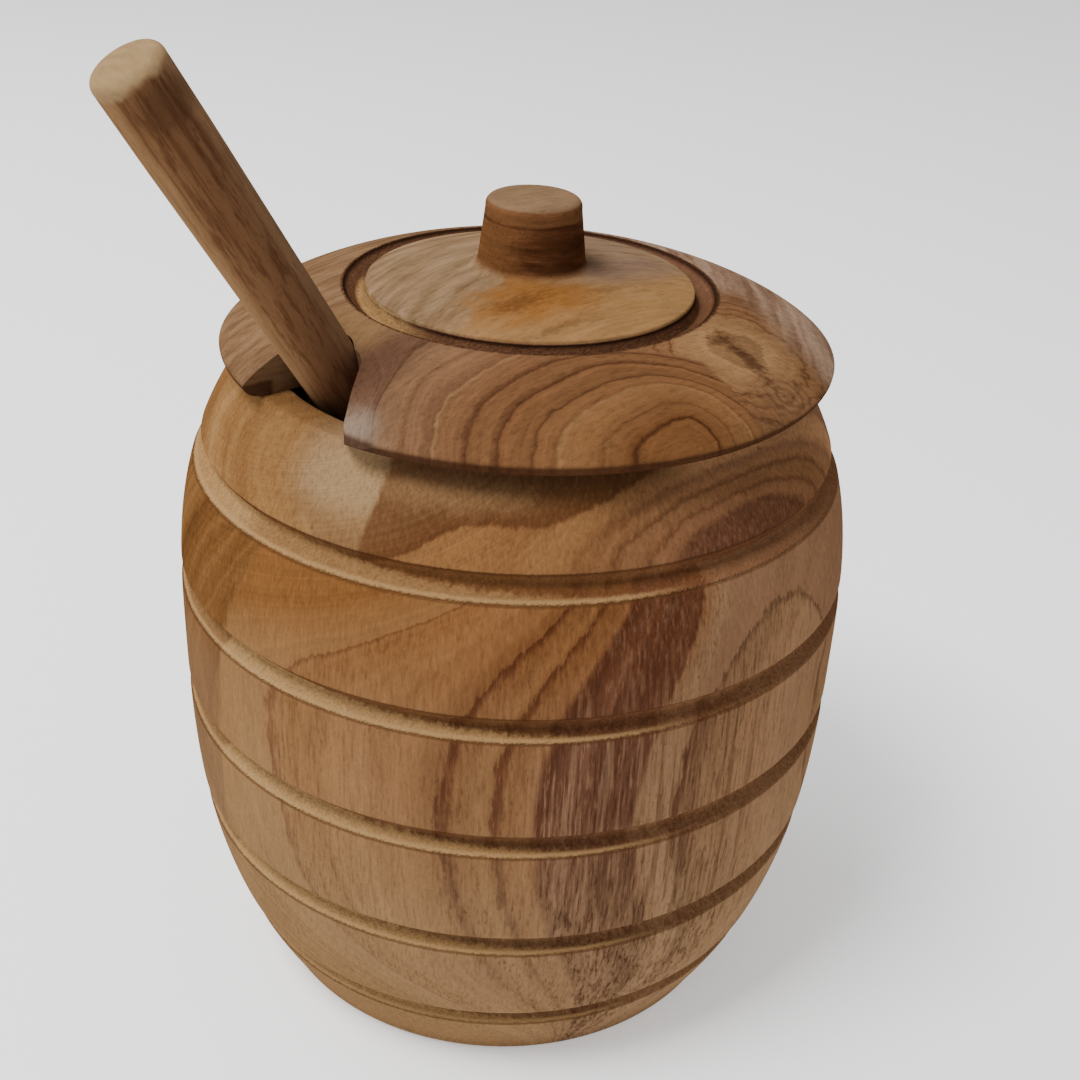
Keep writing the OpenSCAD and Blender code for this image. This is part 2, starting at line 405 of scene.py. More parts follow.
def lathe_tree():
    """Node tree that turns a half section on a lathe, a little worn and torn."""
    tree = bpy.data.node_groups.new("Turned on the lathe", "GeometryNodeTree")
    sockets = (("Half section", "Geometry"), ("Segments", "Int"), ("Out of round", "Float"),
               ("Torn grain", "Float"), ("Seed", "Int"), ("Wood", "Material"))
    for name, kind in sockets:
        tree.interface.new_socket(name, in_out="INPUT", socket_type="NodeSocket" + kind)
    tree.interface.new_socket("Turned piece", in_out="OUTPUT", socket_type="NodeSocketGeometry")
    bench = Bench(tree)
    entry = tree.nodes.new("NodeGroupInput")
    given = {s.name: Wire(bench, s) for s in entry.outputs if s.name}
    count = bench.node("GeometryNodeAttributeDomainSize", {"component": "MESH"},
                       {"Geometry": given["Half section"]}, "Point Count")
    sheet = bench.node("GeometryNodeMeshGrid", {}, {
        "Vertices X": given["Segments"] + 1.0, "Vertices Y": count})
    index = bench.node("GeometryNodeInputIndex")
    column = bench.math("FLOOR", (index + 0.5) / count)
    row = index - column * count
    angle = bench.math("MODULO", column, given["Segments"]) * math.tau / given["Segments"]

    def along(data_type, value):
        return bench.node("GeometryNodeSampleIndex", {"data_type": data_type, "domain": "POINT"},
                          {"Geometry": given["Half section"], "Value": value, "Index": row})

    def stored(name):
        mark = bench.node("GeometryNodeInputNamedAttribute", {"data_type": "FLOAT"},
                          {"Name": name})
        return along("FLOAT", mark)

    place = along("FLOAT_VECTOR", bench.node("GeometryNodeInputPosition"))
    radius = bench.node("ShaderNodeSeparateXYZ", {}, {0: place}, "X")
    level = bench.node("ShaderNodeSeparateXYZ", {}, {0: place}, "Z")
    marks = {name: stored(name) for name in MARKS}
    across, along_y = bench.math("COSINE", angle), bench.math("SINE", angle)
    spot = bench.node("ShaderNodeCombineXYZ", {}, {
        0: radius * across, 1: radius * along_y, 2: level * 0.5})

    def noise(scale, detail):
        return bench.node("ShaderNodeTexNoise", {"noise_dimensions": "4D"}, {
            "Vector": spot, "W": given["Seed"] * 1.0, "Scale": scale, "Detail": detail})

    worn = noise(22.0, 1.0) * given["Out of round"]
    in_groove = bench.math("MINIMUM", bench.math("MAXIMUM", 2.2 - abs(marks["across"]), 0.0), 1.0)
    torn = noise(900.0, 3.0) * given["Torn grain"] * in_groove * marks["groove"]
    reach = radius - (worn + torn) * bench.math("MINIMUM", radius * 400.0, 1.0)
    spread = bench.node("ShaderNodeCombineXYZ", {}, {
        0: reach * across, 1: reach * along_y, 2: level})
    shape = bench.node("GeometryNodeSetPosition", {}, {"Geometry": sheet, "Position": spread})
    for name, value in marks.items():
        shape = bench.node("GeometryNodeStoreNamedAttribute",
                           {"data_type": "FLOAT", "domain": "POINT"},
                           {"Geometry": shape, "Name": name, "Value": value})
    shape = bench.node("GeometryNodeMergeByDistance", {}, {"Geometry": shape, "Distance": 2e-6})
    shape = bench.node("GeometryNodeSetShadeSmooth", {}, {"Geometry": shape})
    shape = bench.node("GeometryNodeRealizeInstances", {}, {"Geometry": shape})
    shape = bench.node("GeometryNodeSetMaterial", {}, {
        "Geometry": shape, "Material": given["Wood"]})
    leave = tree.nodes.new("NodeGroupOutput")
    tree.links.new(shape.socket, leave.inputs[0])
    return tree


def turn(name, profile, wood, segments, out_of_round, torn_grain, seed):
    """Turns a half section into a plain closed mesh."""
    mesh = bpy.data.meshes.new(name + "_section")
    mesh.from_pydata([(r, 0.0, z) for r, z, *_ in profile],
                     [(i, i + 1) for i in range(len(profile) - 1)], [])
    for column, mark in enumerate(MARKS, 2):
        data = mesh.attributes.new(mark, "FLOAT", "POINT").data
        for i, line in enumerate(profile):
            data[i].value = line[column]
    section = bpy.data.objects.new(name + "_section", mesh)
    bpy.context.collection.objects.link(section)
    tree = bpy.data.node_groups.get("Turned on the lathe") or lathe_tree()
    lathe = section.modifiers.new("Lathe", "NODES")
    lathe.node_group = tree
    values = {"Segments": segments, "Out of round": out_of_round, "Torn grain": torn_grain,
              "Seed": seed, "Wood": wood}
    for item in tree.interface.items_tree:
        if item.item_type == "SOCKET" and item.in_out == "INPUT" and item.name in values:
            lathe[item.identifier] = values[item.name]
    turned = frozen(section, name)
    section.modifiers.clear()
    bpy.data.objects.remove(section)
    tidy(turned.data)
    return turned


def frozen(source, name):
    """A plain mesh object from what the source's modifiers make."""
    graph = bpy.context.evaluated_depsgraph_get()
    graph.update()
    mesh = bpy.data.meshes.new_from_object(source.evaluated_get(graph))
    mesh.name = name
    made = bpy.data.objects.new(name, mesh)
    bpy.context.collection.objects.link(made)
    return made


def tidy(mesh, near=1e-6):
    """Merges doubles and points all faces outwards."""
    work = bmesh.new()
    work.from_mesh(mesh)
    bmesh.ops.remove_doubles(work, verts=work.verts, dist=near)
    bmesh.ops.dissolve_degenerate(work, edges=work.edges, dist=near)
    bmesh.ops.recalc_face_normals(work, faces=work.faces)
    for face in work.faces:
        face.smooth = True
    work.to_mesh(mesh)
    work.free()


def prism(name, outline, low, high, matrix):
    """A closed prism from an outline, used as a cutter."""
    work = bmesh.new()
    ring = [work.verts.new((x, y, low)) for x, y in outline]
    base = work.faces.new(ring)
    lifted = bmesh.ops.extrude_face_region(work, geom=[base])
    tops = [v for v in lifted["geom"] if isinstance(v, bmesh.types.BMVert)]
    bmesh.ops.translate(work, verts=tops, vec=(0, 0, high - low))
    bmesh.ops.recalc_face_normals(work, faces=work.faces)
    bmesh.ops.transform(work, matrix=matrix, verts=work.verts)
    mesh = bpy.data.meshes.new(name)
    work.to_mesh(mesh)
    work.free()
    made = bpy.data.objects.new(name, mesh)
    bpy.context.collection.objects.link(made)
    return made


# ---------------------------------------------------------------- wood

class Paint(Bench):
    """A procedural wood material under construction."""

    def __init__(self, name):
        self.material = bpy.data.materials.new(name)
        self.material.use_nodes = True
        super().__init__(self.material.node_tree)
        self.tree.nodes.clear()
        coords = self.tree.nodes.new("ShaderNodeTexCoord")
        self.spot = Wire(self, coords.outputs["Object"])
        self.spot = self.scale(self.spot, 1 / MM)

    def axes(self, vector):
        parts = self.tree.nodes.new("ShaderNodeSeparateXYZ")
        self.tree.links.new(vector.socket, parts.inputs[0])
        return [Wire(self, out) for out in parts.outputs]

    def scale(self, vector, amount):
        """A vector or colour times one number."""
        return self.node("ShaderNodeVectorMath", {"operation": "SCALE"},
                         {0: vector, "Scale": amount})

    def attribute(self, name):
        """A mark that the lathe left on the mesh."""
        return self.node("ShaderNodeAttribute", {"attribute_name": name}, {}, "Fac")

    def patch(self, x, y, middle_x, middle_y, half_x, half_y, soft, wobble=0.0):
        """1 inside an oval and 0 outside, with a soft edge."""
        across, along = (x - middle_x) / half_x, (y - middle_y) / half_y
        reach = (across ** 2.0 + along ** 2.0) ** 0.5 + wobble
        return self.fade(reach, 1 + soft, 1 - soft)

    def patches(self, colour, x, y, *rows):
        """Lays oval patches over a colour: place and reach, softness, wobble, strength, tone."""
        for oval, soft, wobble, strength, tint in rows:
            colour = self.blend(self.patch(x, y, *oval, soft, wobble) * strength, colour, tint)
        return colour

    def noise(self, place, scale, detail=2.0, rough=0.5):
        """Cloudy values about 0.5; a coordinate taken small stretches them along its axis."""
        spot = self.node("ShaderNodeCombineXYZ", {}, dict(enumerate(place)))
        return self.node("ShaderNodeTexNoise", {}, {
            "Vector": spot, "Scale": scale, "Detail": detail, "Roughness": rough})

    def fade(self, value, start, end, low=0.0, high=1.0):
        """Rises softly from low at start to high at end."""
        return self.node("ShaderNodeMapRange", {"interpolation_type": "SMOOTHSTEP"}, {
            "Value": value, "From Min": start, "From Max": end, "To Min": low, "To Max": high})

    def ring_line(self, value, place, before, after):
        """A line at one value: 1 on it, fading over its own width on each side."""
        return self.fade(value, place - before, place) * self.fade(value, place + after, place)

    def ramp(self, value, stops):
        """A colour that follows a value, with its stops in the value's own units."""
        start = stops[0][0]
        span = stops[-1][0] - start
        placed = [((place - start) / span, colour) for place, colour in stops]
        return self.node("ShaderNodeValToRGB", {"stops": placed},
                         {"Fac": (value - start) / span})

    def tones(self, value, *lines):
        """A ramp of wood tones: a value and three screen values on each line."""
        return self.ramp(value, wood_stops(*lines))

    def blend(self, mask, first, second, kind="MIX"):
        node = self.tree.nodes.new("ShaderNodeMix")
        node.data_type, node.blend_type = "RGBA", kind
        for i, value in ((0, mask), (6, first), (7, second)):
            if isinstance(value, Wire):
                self.tree.links.new(value.socket, node.inputs[i])
            elif i:
                node.inputs[i].default_value = (*value, 1.0)
            else:
                node.inputs[i].default_value = value
        return Wire(self, node.outputs[2])

    def finish(self, colour, roughness, relief, depth):
        """Ends the tree in dull, oiled wood, with its relief given in metres of depth."""
        bump = self.node("ShaderNodeBump", {}, {
            "Strength": 1.0, "Distance": depth, "Height": relief})
        surface = self.node("ShaderNodeBsdfPrincipled", {}, {
            "Base Color": colour, "Roughness": roughness, "Normal": bump,
            "Specular IOR Level": 0.0})
        end = self.tree.nodes.new("ShaderNodeOutputMaterial")
        self.tree.links.new(surface.socket, end.inputs["Surface"])
        return self.material


def wood_stops(*lines):
    """Ramp stops from a value and the three screen values of a tone."""
    return [(place, wood(*colour)) for place, *colour in lines]


def grey_stops(*lines):
    """Ramp stops from a value and a share."""
    return [(place, (share,) * 3) for place, share in lines]


# Tones across the front, left to right; the ring field counts four to a degree round the pith
BODY_TONES = wood_stops(
    (-92, 156, 110, 62), (-80, 164, 120, 74), (-68, 166, 124, 80), (-65, 162, 118, 75),
    (-62, 158, 112, 68), (-50, 166, 120, 76), (-38, 158, 112, 70), (-34, 136, 92, 56),
    (-27, 160, 115, 72), (-25, 140, 95, 58), (-19, 156, 110, 70), (-18.2, 118, 74, 50),
    (-17, 106, 64, 44), (-12, 124, 82, 60), (-8, 110, 68, 48), (-3.5, 122, 80, 58),
    (-1.2, 116, 74, 52), (-0.3, 160, 118, 82), (6.6, 172, 130, 92), (8.5, 134, 96, 66),
    (16, 160, 117, 80), (28, 178, 132, 92), (36, 176, 132, 94), (50, 168, 124, 86),
    (70, 172, 128, 88))
BODY_PORES = grey_stops(
    (-92, .3), (-70, .08), (-65.5, .08), (-64.5, .8), (-50, .5), (-37, .35), (-34.3, 1),
    (-29, .8), (-26, .5), (-25.1, 1), (-20, .7), (-18, .7), (-17, 1), (-1, .9), (-.4, 1),
    (6.5, .9), (7.6, 1), (18, .8), (27, .45), (45, .3), (50.5, .9), (60, .3), (70, .3))
# Growth lines: place, width before and after it, strength
BODY_LINES = (
    (-65, .7, 1.8, .5), (-34.5, .8, 2.6, .85), (-25.3, .7, 2.2, .8), (-17.6, .5, 1.6, .6),
    (-11.2, .5, 1.5, .4), (-6.5, .5, 1.7, .45), (-1.3, 1.4, .6, .4), (7.3, .8, 2.2, .8),
    (50, .9, 2.4, .6), (62, .7, 1.8, .5))
SHOULDER_ARCS = wood_stops(
    (0, 112, 70, 48), (4.3, 116, 74, 50), (5.0, 150, 102, 66), (5.9, 150, 102, 66),
    (6.15, 124, 80, 50), (6.7, 152, 104, 66), (7.6, 150, 103, 64), (7.95, 120, 78, 47),
    (8.6, 152, 104, 64), (9.6, 124, 80, 48), (10.3, 152, 105, 63), (11.4, 156, 110, 66),
    (12.3, 150, 104, 62), (12.7, 112, 72, 44), (15, 126, 86, 54), (22, 150, 110, 74),
    (34, 160, 118, 78))


def degrees_round(paint, x, y, aim, pith):
    """Degrees round a pith, measured from a direction."""
    ux, uy = math.cos(math.radians(aim)), math.sin(math.radians(aim))
    dx, dy = x - pith[0], y - pith[1]
    return paint.math("ARCTAN2", dy * ux - dx * uy, dx * ux + dy * uy) * (180 / math.pi)


def growth_rings(paint, x, y, z):
    """Field of the upright sides of the rings; the pith lies outside the pot.

    The shares were fitted to where the dark lines cross each band between two grooves.
    """
    p = degrees_round(paint, x, y, -102.25, (20, 120))
    h = (z - 54) / 50
    up, down = paint.math("MAXIMUM", h, 0.0), paint.math("MAXIMUM", h * -1, 0.0)
    level, up_2, down_2 = h * h, up * up, down * down
    turns = p * (1 - level * 0.266 + up_2 ** 3.0 * 3.742 + down_2 ** 3.0 * 5.807) \
        + p * p * (up_2 * 0.03477 - up_2 * up_2 * 0.22913 - down_2 * 0.03073) \
        + h * 0.224 - level * 8.153 + up_2 * up_2 * 0.395 + down_2 * down_2 * 9.074
    return turns * 4


def shoulder_wood(paint, phi, z, ripple, jag):
    """Colour above the top groove, and the field of its arcs."""
    fade, blend, noise = paint.fade, paint.blend, paint.noise
    g = (((phi + 87) / 3.4) ** 2.0 + (z - 93) ** 2.0) ** 0.5 + ripple * 1.0 + jag * 1.1
    arcs = paint.ramp(g, SHOULDER_ARCS)
    orange = fade(phi + ripple * 12, -106, -136)
    arcs = blend(orange * 0.85, arcs, wood(166, 113, 62))
    # brown wood above a wavy border that falls to the left
    steep = (phi + 137) * 0.47 + 98.8
    gentle = paint.math("MAXIMUM", phi + 124, 0.0) * 0.27 + 98.7
    border = z - paint.math("MINIMUM", steep, gentle) - ripple * 1.4 - jag * 1.0
    over = fade(border, -0.35, 0.35) * fade(phi, -98, -106)
    brown = paint.tones(
        border,
        (0, 110, 68, 36), (1.5, 118, 76, 42), (4, 122, 82, 48), (12, 122, 84, 50))
    arcs = blend(over, arcs, brown)
    glint = paint.patch(phi, z, -141, 102.6, 12, 2.6, 0.6, wobble=ripple + jag)
    arcs = blend(glint * 0.5, arcs, wood(172, 130, 86))
    # left of an upright edge: a pale patch that fades down and to the left
    left_of = fade(phi + (104 - z) * 0.22 + jag * 1.2, -151.2, -152.6)
    left = paint.tones(
        z,
        (92, 150, 108, 66), (97, 158, 118, 76), (99.5, 168, 132, 92), (105, 166, 128, 88))
    arcs = blend(left_of, arcs, left)
    pale = paint.patch(phi, z, -158, 101.2, 10.5, 4.2, 0.55, wobble=ripple * 0.5) * left_of
    arcs = blend(pale * 0.7, arcs, wood(182, 147, 102))
    wedge = fade(z + abs(phi + 165.5) * 0.85 + jag * 1.2, 96.4, 95.4)
    arcs = blend(wedge * 0.6, arcs, wood(190, 146, 88))
    # a fan of slanting streaks at the far left
    bend = phi + 173 + (z - 99) * 1.7 - (z - 92) ** 2.0 * 0.09
    fan = noise((bend + ripple * 8, z * 0.25, 2.0), 0.14, 4.0, 0.6)
    fan_tone = paint.tones(
        fan,
        (0.3, 132, 88, 44), (0.45, 152, 106, 58), (0.55, 162, 116, 66), (0.7, 178, 132, 80))
    arcs = blend(fade(bend, 3, -6), arcs, fan_tone)
    right_light = fade(phi, -112, -88) * fade(g, 7, 11)
    arcs = blend(right_light * 0.8, arcs, blend(0.3, paint.scale(arcs, 1.9), wood(190, 150, 120)))
    rim_shade = fade(z, 101.6, 104.2) * fade(phi, -158, -148) * fade(phi, -92, -108)
    return blend(rim_shade * 0.7, arcs, wood(72, 42, 24)), g


def groove_wood(paint, colour, base, phi, z, beyond, across, groove, in_cut, torn, chip):
    """Torn brown grooves, with painted light on the lower wall on the left, a painted highlight on
    the lower lip, painted shade on the upper wall, and a ragged lower edge.
    """
    fade, blend = paint.fade, paint.blend
    brown = blend(0.5, paint.scale(colour, 0.76), base)
    colour = blend(in_cut, colour, paint.scale(brown, fade(phi, -128, -100) * 0.3
                                               + torn * 1.0 + chip * 0.5 + 0.25))
    top_groove = fade(z, 80, 86)
    # painted light: the lit part of each groove's lower wall, widest on the left, is given pale
    # tones
    lit_to = (phi + 150) * -0.042 - 0.15 + (torn - 0.5) * 1.6
    lit = fade(across - lit_to, 0.45, -0.35) * in_cut * (1 - beyond * (1 - top_groove) * 0.6)
    painted_light_tone = paint.tones(
        phi,
        (-200, 190, 144, 88), (-175, 196, 154, 98), (-150, 190, 146, 92), (-125, 178, 134, 82),
        (-100, 160, 116, 72), (-60, 150, 106, 66))
    painted_light_tone = blend(top_groove * fade(phi, -182, -174) * 0.8, painted_light_tone, wood(160, 116, 70))
    colour = blend(lit * 0.9, colour, paint.scale(painted_light_tone, 0.05 + chip * 1.2 + torn * 0.7))
    # painted highlight: a pale line along each groove's lower lip, on the left and in front
    lip = paint.ring_line(across + (torn - 0.5) * 0.6, -1.6, 0.3, 0.35) * groove \
        * fade(phi, -98, -112)
    colour = blend(lip * 0.7, colour, wood(204, 160, 104))
    # painted shade: the upper wall of each groove, which faces down, is darkened
    colour = blend(fade(across, 1.1, 1.7) * in_cut * 0.45, colour, wood(80, 46, 25))
    edge = paint.ring_line(across + (chip - 0.5) * 0.5, -2.1, 0.25, 0.3) * groove
    return blend(edge * 0.6, colour, wood(104, 62, 32))


def body_wood(colours):
    """Teak standing upright: sides of the rings, a dark heart band and a shoulder of arcs."""
    paint = Paint("Pot teak")
    fade, blend, noise = paint.fade, paint.blend, paint.noise
    x, y, z = paint.axes(paint.spot)
    phi = degrees_round(paint, x, y, -130, (0, 0)) - 130
    drift = noise((x, y, z * 0.35), 0.035, 2.0) - 0.5
    ripple = noise((x, y, z * 0.4), 0.2, 2.0) - 0.5
    jag = noise((x, y, z * 0.22), 1.3, 3.0, 0.6) - 0.5
    field = growth_rings(paint, x, y, z) + drift * 4.0 + ripple * 3.4 + jag * 2.0
    colour = paint.ramp(field, BODY_TONES)
    porous = paint.ramp(field, BODY_PORES)
    heart = fade(field, -18.2, -17.2) * fade(field + jag * 5, 0.6, -1.8)
    for place, before, after, strength in BODY_LINES:
        line = paint.ring_line(field + jag * 1.6, place, before, after)
        colour = blend(line * strength, colour, colours.growth_line)
    # the peak of darker, streaky wood on the near right, plain wood above it
    peak = z - (84.3 - (phi + 82) ** 2.0 * 0.047) - jag * 4.0
    right_of_line = fade(field, 3.5, 6.5)
    over = fade(peak, -0.3, 0.3) * right_of_line * fade(z, 60, 74)
    rim_of_peak = paint.ring_line(peak, -0.6, 1.6, 0.7) * right_of_line * fade(z, 72, 75)
    colour = blend(over * 0.9, colour, wood(160, 116, 82))
    colour = blend(rim_of_peak * 0.8, colour, wood(118, 84, 58))
    porous = blend(over, porous, (0.15, 0.15, 0.15))
    # warm, darker wood beyond the left edge of the pale side
    left_edge = phi + 172.0 + (1 - paint.math("POWER", math.e, (z - 90) / 22)) * 14 - ripple * 4
    beyond = fade(left_edge + jag * 1.5, 0.7, -0.9) * fade(z, 8, 40)
    tilt = left_edge - (z - 60) * 0.35
    slanted = noise((tilt, z * 0.03, 5.0), 0.22, 3.0, 0.6)
    warm = paint.tones(
        slanted,
        (0.3, 100, 62, 28), (0.45, 120, 77, 35), (0.55, 130, 86, 41), (0.7, 150, 104, 55))
    warm = blend(fade(z, 76, 62) * 0.65, warm, wood(146, 110, 78))
    colour = blend(beyond * 0.92, colour, warm)
    # tone drifts: warmer and darker at the shoulder, paler low down
    warmth = blend(1.0, colour, (0.82, 0.66, 0.50), "MULTIPLY")
    colour = blend(fade(z, 64, 86) * fade(field, 4, -2) * (1 - beyond) * 0.8, colour, warmth)
    colour = blend(fade(z, 66, 22) * 0.48, colour, colours.low_side)
    shoulder = fade(z, 91.2, 92.0) * fade(z, 105.5, 104.9)
    arcs, g = shoulder_wood(paint, phi, z, ripple, jag)
    colour = blend(shoulder, colour, arcs)
    porous = blend(shoulder, porous, (0.4, 0.4, 0.4))
    heart = heart * (1 - shoulder) + shoulder * fade(g, 4.9, 4.1)
    # long fibres, pale and dark, strongest in the heart; short pores
    fibre = noise((x, y, z * 0.09), 2.2, 3.0, 0.62)
    pores = noise((x, y, z * 0.28), 2.3, 2.0, 0.5)
    grit = noise((x, y, z * 0.6), 2.0, 3.0, 0.7) - 0.5
    soft = noise((field, z * 0.03, 9.0), 0.3, 3.0, 0.55) - 0.5
    cloud = noise((x, y, z * 0.5), 0.08, 3.0) - 0.5
    stripes = noise((x, y, z * 0.035), 1.0, 3.0, 0.6)
    pale_fibre, dark_fibre = fade(fibre, 0.52, 0.66), fade(fibre, 0.48, 0.36)
    right_side = fade(field, 6.0, 8.0) * fade(z, 88, 80)
    low_down = fade(z, 76, 68)
    colour = blend(pale_fibre * (heart * (low_down * 0.3 + 0.06) + porous * 0.12 + 0.03),
                   colour, wood(172, 130, 96))
    colour = blend(dark_fibre * (heart * 0.5 + porous * 0.3 + right_side * porous * 0.3),
                   colour, wood(92, 56, 38))
    colour = blend(fade(pores, 0.42, 0.30) * (porous * 0.4 + 0.04), colour, wood(88, 52, 32))
    streaky = fade(field, -21, -17) * fade(field, 36, 18) * (low_down * 0.6 + 0.4) \
        * (1 - shoulder) * (1 - over)
    colour = blend(fade(stripes, 0.49, 0.39) * streaky * 0.5, colour, wood(104, 68, 48))
    colour = blend(fade(stripes, 0.53, 0.63) * streaky * 0.4, colour, wood(172, 132, 98))
    colour = paint.scale(colour, 1 + soft * 0.5 + cloud * 0.3 + (fibre - 0.5) * 0.45 + grit * 0.5)
    across, groove, inside = (paint.attribute(name) for name in MARKS)
    torn = noise((x, y, z * 0.6), 1.1, 4.0, 0.7)
    chip = noise((x, y, z * 1.2), 2.4, 3.0, 0.7)
    in_cut = fade(abs(across + (chip - 0.5) * 0.5), 2.05, 1.75) * groove
    colour = groove_wood(paint, colour, colours.groove, phi, z, beyond,
                         across, groove, in_cut, torn, chip)
    colour = blend(inside * 0.45, colour, colours.well)
    relief = pores * porous * 0.8 + fibre * 0.5 + in_cut * (torn * 4.0 + chip * 3.0)
    rough = 0.56 + (fibre - 0.5) * 0.2 + in_cut * 0.2
    return paint.finish(colour, rough, relief, RELIEF)


LID_RINGS = wood_stops(
    (0, 126, 82, 46), (4.7, 128, 84, 46), (5.05, 74, 41, 22), (5.45, 118, 75, 41),
    (7.6, 136, 92, 53), (7.9, 112, 73, 41), (8.4, 136, 92, 53), (11.2, 142, 98, 58),
    (11.6, 156, 113, 70), (12.0, 126, 84, 49), (12.8, 136, 92, 54), (13.7, 138, 94, 56),
    (13.95, 102, 65, 39), (14.3, 126, 84, 50), (17.1, 136, 91, 54), (17.4, 90, 55, 33),
    (17.8, 118, 78, 47), (18.6, 132, 90, 55), (20.4, 134, 90, 55), (20.6, 96, 60, 37),
    (21.6, 132, 90, 57), (24.2, 138, 96, 62), (24.4, 154, 114, 76), (24.8, 118, 80, 53),
    (26.4, 138, 98, 66), (28.3, 142, 102, 70), (28.6, 120, 83, 56), (29.6, 142, 103, 71),
    (34.9, 138, 100, 70), (35.3, 92, 61, 44), (36.0, 120, 84, 62), (42, 126, 90, 66))
KNOT_RINGS = wood_stops(
    (0, 108, 76, 50), (2.0, 144, 106, 68), (4.2, 162, 120, 78), (7.2, 158, 115, 74),
    (8.4, 140, 98, 62), (8.8, 106, 70, 42), (9.2, 142, 99, 62), (10.4, 136, 94, 59),
    (10.75, 106, 70, 43), (11.2, 140, 97, 62), (12.6, 134, 92, 58), (13.0, 108, 72, 46),
    (13.5, 138, 96, 62), (16, 118, 80, 52), (17, 138, 96, 64), (20, 130, 90, 60))


def knot_wood(paint, colour, middle, x, y, field, ripple, jag, warp):
    """Lays the knot over the lid's rings, with the wood that bends round it."""
    fade, blend, noise = paint.fade, paint.blend, paint.noise
    kx, ky = x - 11.6 + warp * 5.0, y + 32.8 + ripple * 4.0
    swirl = ((kx / 1.25) ** 2.0 + ky ** 2.0) ** 0.5 + jag * 1.2
    eddy = (((x - 12.4) / 1.15) ** 2.0 + (y + 41.6) ** 2.0) ** 0.5 * 1.7 + warp * 4.0 + jag * 0.8
    swirl_lines = noise((swirl, 2.0, 1.0), 1.7, 3.0, 0.65) - 0.5
    eddy_tone = paint.tones(
        paint.math("SINE", eddy * 2.6),
        (-1, 104, 70, 46), (-0.5, 130, 90, 60), (1, 148, 108, 74))
    bent = paint.scale(paint.ramp(swirl, KNOT_RINGS), 1 + swirl_lines * 0.8)
    bent = blend(paint.patch(x, y, 12.4, -41.6, 4.6, 3.2, 0.6) * 0.55, bent, eddy_tone)
    near_knot = fade(x, -5, 0) * fade(field, 21.5, 23.0) * fade(x - ky * 0.3, 28, 19) \
        * fade(y, -15, -21)
    under_knot = fade(x, 3.2, 4.6) * fade(x, 27, 20) * fade(y, -30, -36)
    round_knot = paint.math("MAXIMUM", near_knot, under_knot)
    colour = blend(round_knot, colour, bent)
    sx, sy = x - 11.3 + warp * 3.5, y + 33.6 + jag * 1.6
    crack = paint.patch(sx, sy, 0.3, -1.4, 0.9, 3.8, 0.8, wobble=jag * 2.4 + warp * 2.2)
    bar = paint.patch(sx, sy, -0.6, 2.9, 2.2, 0.8, 0.8, wobble=jag * 2.4 + warp * 1.5)
    halo = paint.patch(sx, sy, 0.5, -0.6, 2.8, 5.6, 0.9, wobble=jag * 2.0 + warp)
    colour = blend(halo * 0.25, colour, wood(116, 72, 42))
    return blend(paint.math("MAXIMUM", crack, bar) * 0.7, colour, middle)


def disc_wood(paint, orange, x, y, z, ripple, jag):
    """Pale, patchy wood of the raised disc, orange in front of the knob."""
    fade, blend, noise = paint.fade, paint.blend, paint.noise
    faint = noise((x * 0.08 - y * 0.03, y + x * x * 0.012, z), 0.5, 4.0, 0.65)
    plate = paint.tones(
        faint,
        (0.3, 122, 92, 62), (0.45, 148, 116, 82), (0.55, 160, 127, 93), (0.7, 174, 140, 104))
    plate = blend(fade(y + ripple * 8, -5, -16) * 0.8, plate, wood(172, 125, 72))
    ragged = jag * 2.4
    return paint.patches(
        plate, x, y,
        ((-6, -10.5, 9.5, 6.0), 0.6, ripple * 1.6, 0.9, orange),
        ((-9.5, -10.9, 4.2, 1.8), 0.8, ragged, 0.65, wood(104, 62, 30)),
        ((-8.5, -19, 4.6, 0.7), 0.8, ragged, 0.55, wood(112, 76, 44)),
        ((3.5, -13.5, 2.2, 0.9), 0.8, ragged, 0.5, wood(120, 82, 48)),
        ((12, -7.0, 10, 5.0), 0.6, ripple * 1.2, 0.8, wood(136, 106, 86)),
        ((17, 6, 8, 9), 0.5, 0.0, 0.6, wood(144, 114, 90)))


def knob_wood(paint, top, x, y, z, ripple):
    """The knob: dark, with level streaks, a lighter left side that is partly the wood and partly
    painted light, and a lighter top.
    """
    fade, blend, noise = paint.fade, paint.blend, paint.noise
    bands = noise((x * 0.14, y * 0.14, z + x * 0.08 + y * 0.05), 0.7, 4.0, 0.65)
    dark = paint.tones(
        bands,
        (0.3, 72, 41, 23), (0.45, 96, 57, 32), (0.55, 114, 70, 40), (0.7, 140, 93, 56))
    deep = paint.patch(x - 0.8, z, 1.5, 121, 5.0, 4.5, 0.6, wobble=ripple) * fade(y + 0.6, 0, -3)
    dark = blend(deep * 0.6, dark, wood(78, 42, 23))
    # partly painted light: the side toward the lamps is made paler
    lighter = fade((y + 0.6) * 0.64 - (x - 0.8) * 0.77, 0.0, 5.0)
    dark = blend(lighter * 0.6, dark, paint.scale(wood(136, 90, 50), 0.7 + bands * 0.6))
    band = fade(z + bands * 0.6, 125.9, 126.3)
    dark = blend(band * 0.5, dark, wood(136, 92, 55))
    dark = blend(paint.ring_line(z + bands * 0.6, 125.8, 0.4, 0.2) * 0.6, dark, wood(70, 40, 24))
    return blend(fade(z, 127.5, 127.9) * 0.9, dark, paint.scale(top, 0.6 + bands * 0.8))


